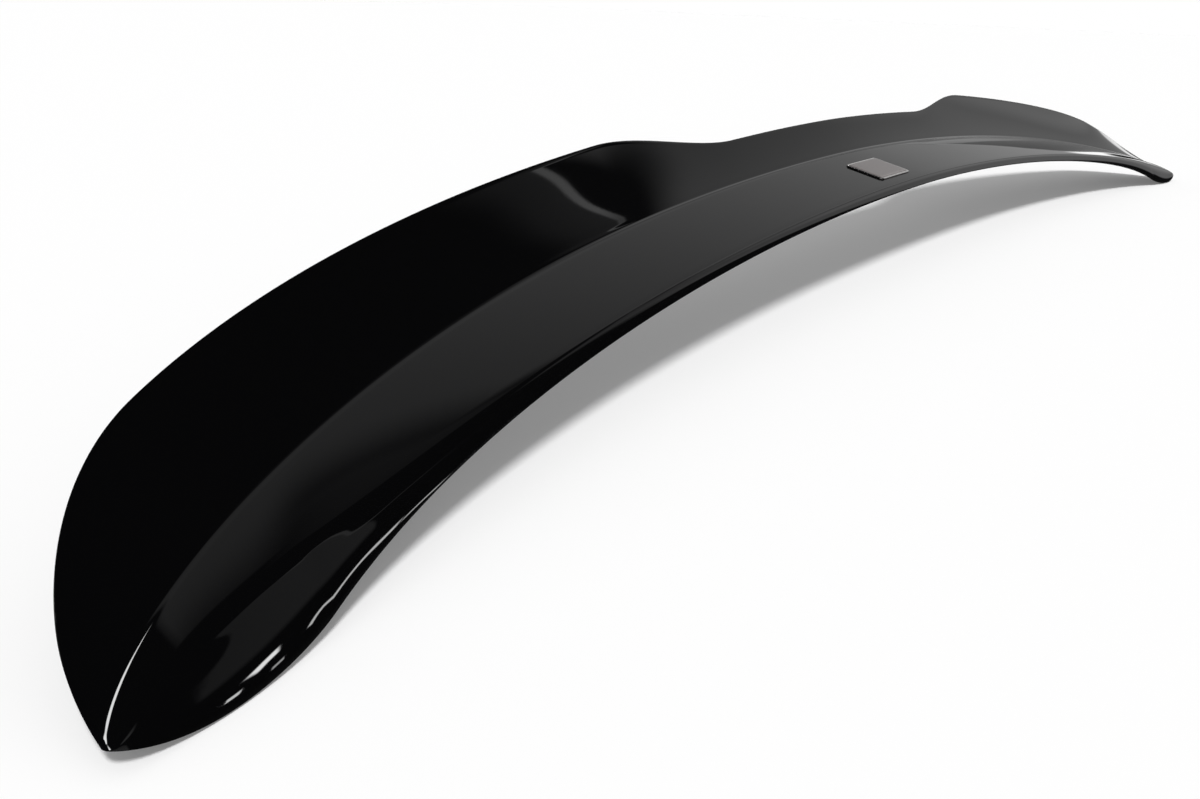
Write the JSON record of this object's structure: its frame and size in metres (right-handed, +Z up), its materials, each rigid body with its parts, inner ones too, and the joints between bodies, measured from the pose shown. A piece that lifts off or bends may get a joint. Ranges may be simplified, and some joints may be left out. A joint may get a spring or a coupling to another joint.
{
  "type": "car rear spoiler",
  "caption": "Thin gloss black shell: an upright blade with a recessed middle, a crease, and a strip with a rolled front edge that arches down to pointed tips; blank badge.",
  "frame": {"origin": "middle of the bounding box in plan, at the level of the tips' lowest points", "axes": "+X across the car from one tip to the other, +Y from the rolled front edge toward the blade, +Z up"},
  "size_m": [1.2, 0.1448, 0.0974],
  "materials": {
    "shell_black": "gloss",
    "badge_silver": "satin face, polished rim"
  },
  "bodies": {
    "root": {"spoiler_shell": "shell_black", "badge_plate": "badge_silver"}
  },
  "joints": []
}
